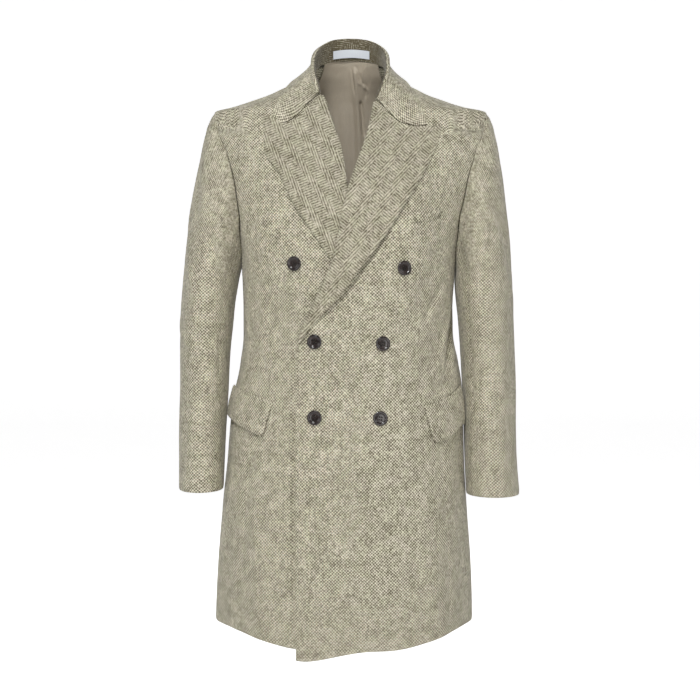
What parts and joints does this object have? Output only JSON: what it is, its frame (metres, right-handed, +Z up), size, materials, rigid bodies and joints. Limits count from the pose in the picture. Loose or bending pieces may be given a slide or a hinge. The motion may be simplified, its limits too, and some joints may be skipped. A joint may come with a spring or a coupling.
{
  "type": "overcoat",
  "caption": "Double-breasted wool overcoat in worn form, with peak lapels, folded collar, set-in sleeves and flap pockets, open at neck, cuffs and hem.",
  "frame": {"origin": "base of the neck, between the shoulders, where the wearer holds the coat up", "axes": "+Z up, the front faces -Y, +X to the viewer's right (the wearer's left)"},
  "size_m": [0.573, 0.3095, 1.032],
  "materials": {
    "wool": "brushed herringbone weave",
    "facing_wool": "brushed herringbone weave",
    "satin": "satin",
    "horn": "polished",
    "label": "plain woven"
  },
  "bodies": {
    "root": {"front_left": "wool", "front_right": "wool", "side_left": "wool", "side_right": "wool", "back_left": "wool", "back_right": "wool", "sleeve_top_left": "wool", "sleeve_under_left": "wool", "sleeve_top_right": "wool", "sleeve_under_right": "wool", "collar": "facing_wool", "lapel_left": "facing_wool", "lapel_right": "facing_wool", "flap_left": "wool", "flap_right": "wool", "chest_welt": "wool", "lining_back": "satin", "label": "label", "button_1": "horn", "button_2": "horn", "button_3": "horn", "button_4": "horn", "button_5": "horn", "button_6": "horn"}
  },
  "joints": []
}
